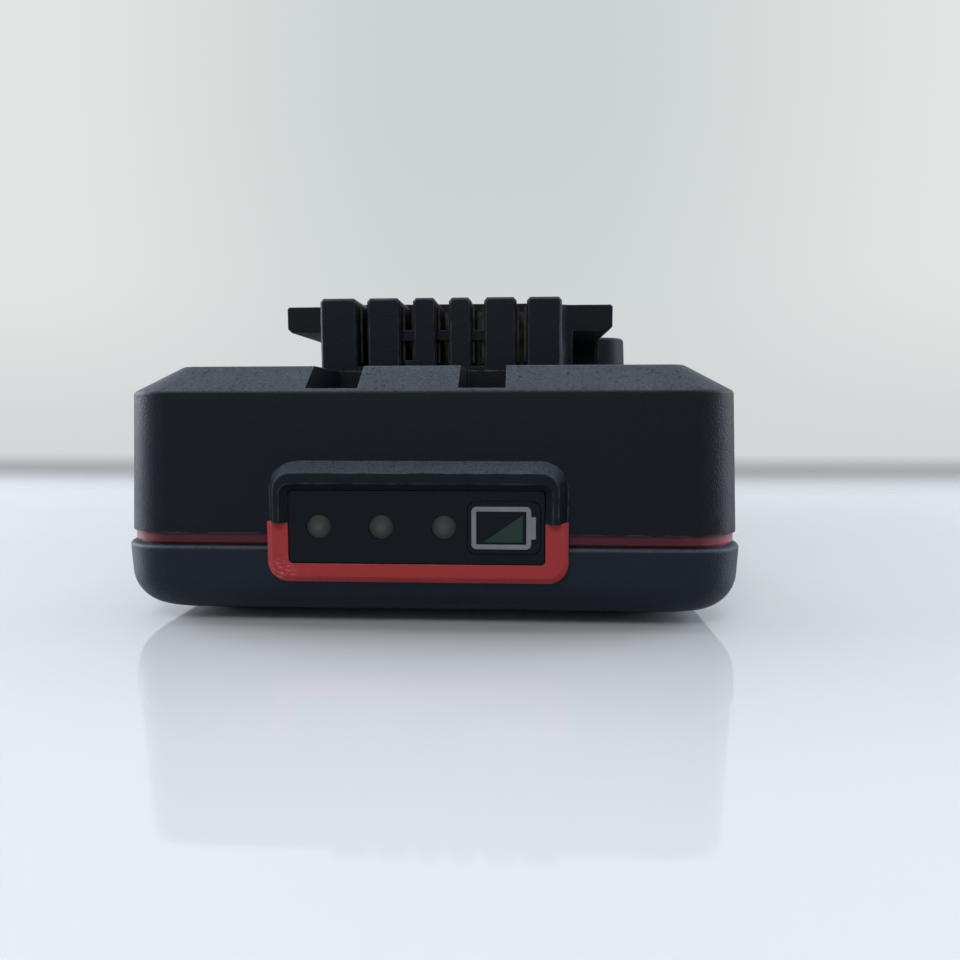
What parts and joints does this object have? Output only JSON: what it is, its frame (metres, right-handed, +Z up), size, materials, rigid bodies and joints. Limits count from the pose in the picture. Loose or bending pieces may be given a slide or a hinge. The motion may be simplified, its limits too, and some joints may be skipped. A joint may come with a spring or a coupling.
{
  "type": "power tool battery pack",
  "caption": "Slide-on rechargeable battery pack with a two-part case, terminal comb between slide rails, charge gauge with press pad, and a sprung release latch.",
  "frame": {"origin": "under the middle of the pack's outer box, on the surface it stands on", "axes": "+X right seen from the gauge end, +Y from the gauge end to the latch end, +Z up"},
  "size_m": [0.077, 0.12, 0.0463],
  "materials": {
    "black_abs": "fine spark-eroded grain, satin",
    "red_abs": "fine grain, satin",
    "panel_film": "smooth satin film",
    "lens_clear": "frosted translucent",
    "icon_white": "printed ink, satin",
    "icon_green": "printed ink, satin",
    "board_green": "solder mask, satin",
    "chip_black": "moulded epoxy, matt",
    "lamp_white": "clear over white, gloss",
    "cell_can": "shrink sleeve over a metal can, gloss",
    "ring_white": "paperboard, matt",
    "carrier_abs": "smooth, matt",
    "nickel": "rolled, satin",
    "contact_brass": "dull, handled",
    "paper_grey": "smooth, matt",
    "foam": "closed-cell, matt",
    "steel": "zinc plated, satin",
    "cap_can": "drawn can, satin",
    "ribbon_film": "smooth film"
  },
  "bodies": {
    "pack": {"lower_case": "black_abs", "upper_case": "black_abs", "trim_ring": "red_abs", "gauge_panel": "panel_film", "gauge_board": "board_green", "gauge_leds": "lamp_white", "gauge_switch": "chip_black", "gauge_ribbon": "ribbon_film", "carrier_left": "carrier_abs", "carrier_right": "carrier_abs", "cell_rings": "ring_white", "links_left": "nickel", "links_right": "nickel", "paper_left": "paper_grey", "paper_right": "paper_grey", "rear_pad": "foam", "main_board": "board_green", "board_screws": "steel", "board_fets": "chip_black", "board_chip": "chip_black", "board_capacitor": "cap_can", "thermistor": "chip_black", "power_tabs": "nickel", "latch_spring_left": "steel", "latch_spring_right": "steel", "case_screws": "steel", "gauge_lens_1": "lens_clear", "gauge_lens_2": "lens_clear", "gauge_lens_3": "lens_clear", "cell_1": "cell_can", "terminal_1": "contact_brass", "cell_2": "cell_can", "terminal_2": "contact_brass", "cell_3": "cell_can", "terminal_3": "contact_brass", "cell_4": "cell_can", "terminal_4": "contact_brass", "cell_5": "cell_can", "terminal_5": "contact_brass"},
    "latch": {"release_latch": "black_abs"},
    "button": {"gauge_button": "panel_film", "icon_outline": "icon_white", "icon_wedge": "icon_green", "switch_plunger": "ring_white"}
  },
  "joints": [
    {"name": "latch_press", "type": "slide", "parent": "pack", "child": "latch", "axis": [0, 0, -1], "range_m": [0, 0.004], "stiffness_N_per_m": 500, "springref_m": -0.004, "deforming": ["latch_spring_left", "latch_spring_right"]},
    {"name": "gauge_press", "type": "slide", "parent": "pack", "child": "button", "axis": [0, 1, 0], "range_m": [0, 0.0006], "stiffness_N_per_m": 1500, "springref_m": -0.0003}
  ]
}
